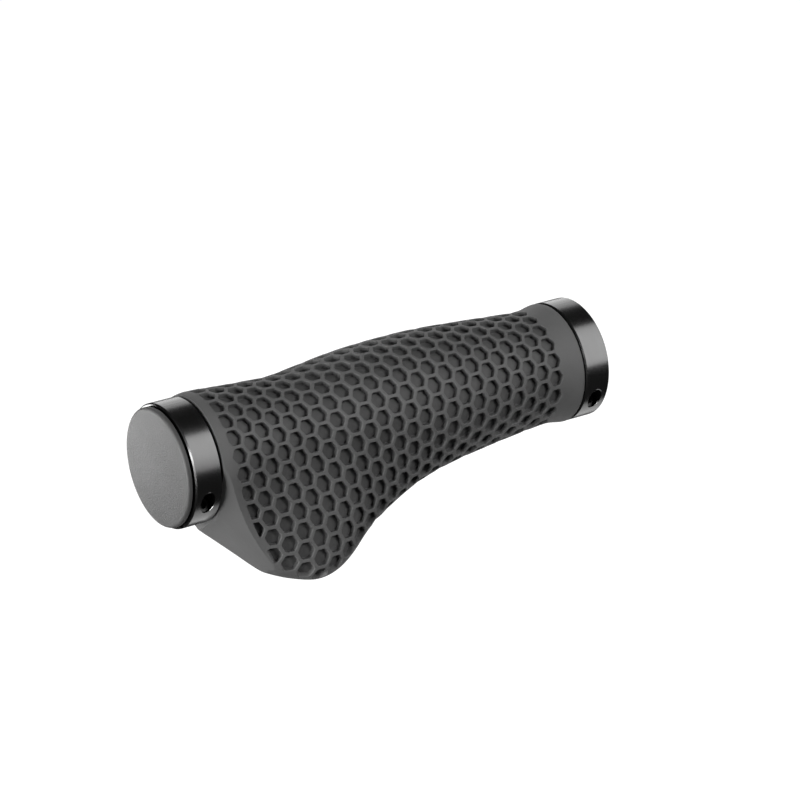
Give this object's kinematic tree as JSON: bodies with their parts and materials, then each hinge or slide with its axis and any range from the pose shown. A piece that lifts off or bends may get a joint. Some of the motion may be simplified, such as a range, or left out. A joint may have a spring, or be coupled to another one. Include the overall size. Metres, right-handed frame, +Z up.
{
  "type": "lock-on handlebar grip",
  "caption": "Ergonomic lock-on handlebar grip with a honeycomb rubber palm wing, split clamp rings with socket screws, and a domed push-in plug at the bar's end.",
  "frame": {"origin": "on the bar's axis, where the sleeve's bore begins at its outboard end", "axes": "+X along the bar towards the middle of the bicycle, -Y towards the rider, +Z up; the palm wing points back and down, 59 degrees below -Y"},
  "size_m": [0.1363, 0.0415, 0.0536],
  "materials": {
    "core_nylon": "moulded black nylon",
    "skin_rubber": "matte charcoal rubber with honeycomb pits",
    "ring_anodised": "gloss black anodised",
    "screw_steel": "black oxide steel",
    "plug_plastic": "fine grained dark grey plastic"
  },
  "bodies": {
    "grip": {"grip_core": "core_nylon", "grip_skin": "skin_rubber"},
    "outer_ring": {"outer_clamp_ring": "ring_anodised"},
    "inner_ring": {"inner_clamp_ring": "ring_anodised"},
    "outer_screw": {"outer_clamp_screw": "screw_steel"},
    "inner_screw": {"inner_clamp_screw": "screw_steel"},
    "plug": {"end_plug": "plug_plastic"}
  },
  "joints": [
    {"name": "outer_ring_slide", "type": "slide", "parent": "grip", "child": "outer_ring", "axis": [-1, 0, 0], "range_m": [0, 0.012]},
    {"name": "inner_ring_slide", "type": "slide", "parent": "grip", "child": "inner_ring", "axis": [1, 0, 0], "range_m": [0, 0.012]},
    {"name": "outer_screw_turn", "type": "hinge", "parent": "outer_ring", "child": "outer_screw", "pos_m": [-0.0041, -0.00713, -0.01099], "axis": [0, -0.8387, 0.5446], "range_deg": [0, 720]},
    {"name": "inner_screw_turn", "type": "hinge", "parent": "inner_ring", "child": "inner_screw", "pos_m": [0.1219, -0.00625, -0.01151], "axis": [0, -0.8788, 0.4772], "range_deg": [0, 720]},
    {"name": "plug_pull", "type": "slide", "parent": "outer_ring", "child": "plug", "axis": [-1, 0, 0], "range_m": [0, 0.015]}
  ]
}
